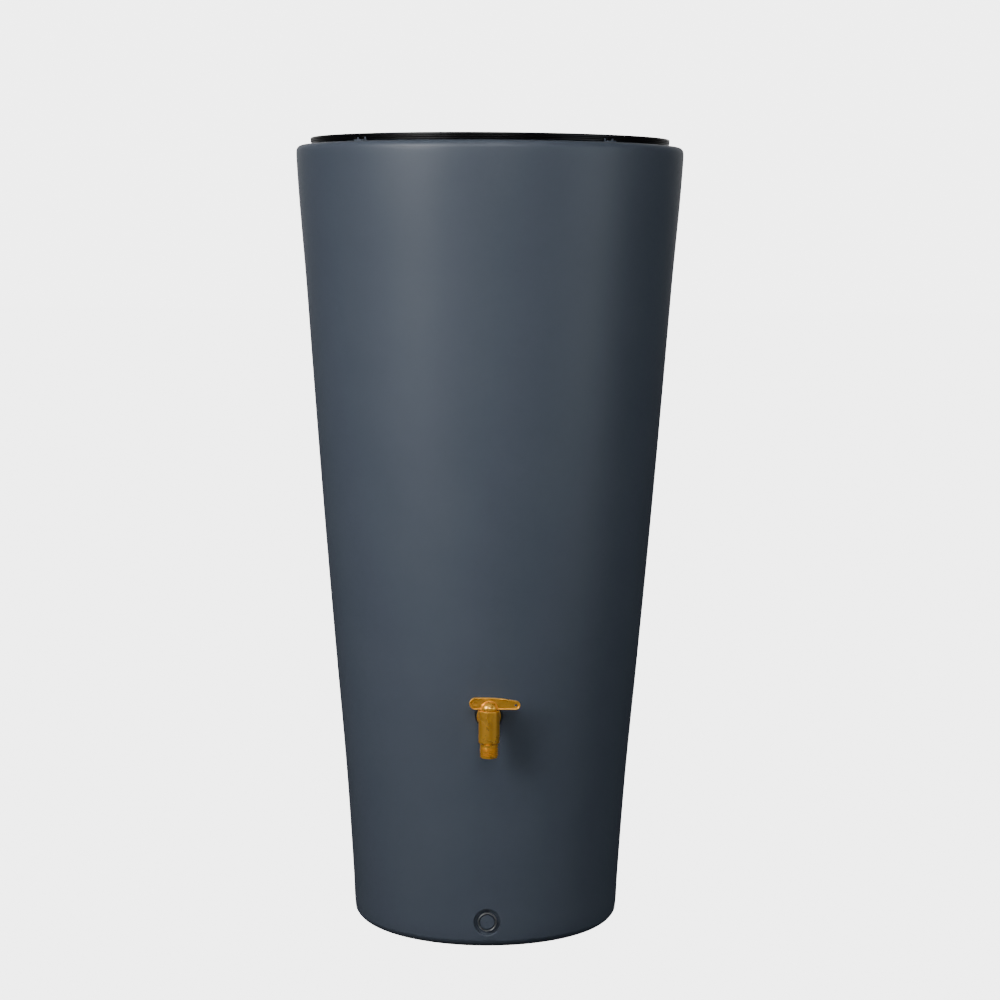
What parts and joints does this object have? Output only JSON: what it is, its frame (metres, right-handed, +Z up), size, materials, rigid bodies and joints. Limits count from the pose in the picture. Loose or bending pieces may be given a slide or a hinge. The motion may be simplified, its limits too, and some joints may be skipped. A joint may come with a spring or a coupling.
{
  "type": "rain barrel",
  "caption": "Tall tapered rain barrel with a lift-out planter bowl on top, a quarter-turn brass tap at the front, a low drain port and a rain inlet at the back.",
  "frame": {"origin": "centre of the footprint on the ground", "axes": "+Z up, the tap and drain face -Y, the rain inlet faces +Y, +X is to the right seen from the tap"},
  "size_m": [0.5822, 0.5822, 1.191],
  "materials": {
    "shell_plastic": "satin graphite moulded polyethylene",
    "bowl_plastic": "black moulded plastic with a soft shine",
    "tap_brass": "polished yellow brass",
    "insert_metal": "bright turned metal",
    "seal_rubber": "black rubber",
    "core_plastic": "off-white low-friction plastic"
  },
  "bodies": {
    "barrel": {"barrel_shell": "shell_plastic", "tap_insert": "insert_metal", "drain_insert": "insert_metal", "inlet_insert": "insert_metal", "tap_gasket": "seal_rubber", "tap_collar": "tap_brass", "tap_body": "tap_brass", "tap_bonnet": "tap_brass", "bonnet_washer": "core_plastic", "stem_o_ring": "seal_rubber"},
    "planter_bowl": {"planter_bowl": "bowl_plastic"},
    "tap_handle": {"tap_handle": "tap_brass", "valve_core": "core_plastic", "core_o_ring_lower": "seal_rubber", "core_o_ring_upper": "seal_rubber"},
    "drain_plug": {"drain_plug": "shell_plastic", "drain_plug_seal": "seal_rubber"},
    "inlet_plug": {"inlet_plug": "shell_plastic", "inlet_plug_seal": "seal_rubber"}
  },
  "joints": [
    {"name": "bowl_lift", "type": "slide", "parent": "barrel", "child": "planter_bowl", "axis": [0, 0, 1], "range_m": [0, 0.3]},
    {"name": "tap_turn", "type": "hinge", "parent": "barrel", "child": "tap_handle", "pos_m": [0, -0.267, 0.3716], "axis": [0, 0, -1], "range_deg": [0, 90]},
    {"name": "drain_plug_pull", "type": "slide", "parent": "barrel", "child": "drain_plug", "axis": [0, -1, 0], "range_m": [0, 0.04]},
    {"name": "inlet_plug_pull", "type": "slide", "parent": "barrel", "child": "inlet_plug", "axis": [0, 1, 0], "range_m": [0, 0.04]}
  ]
}
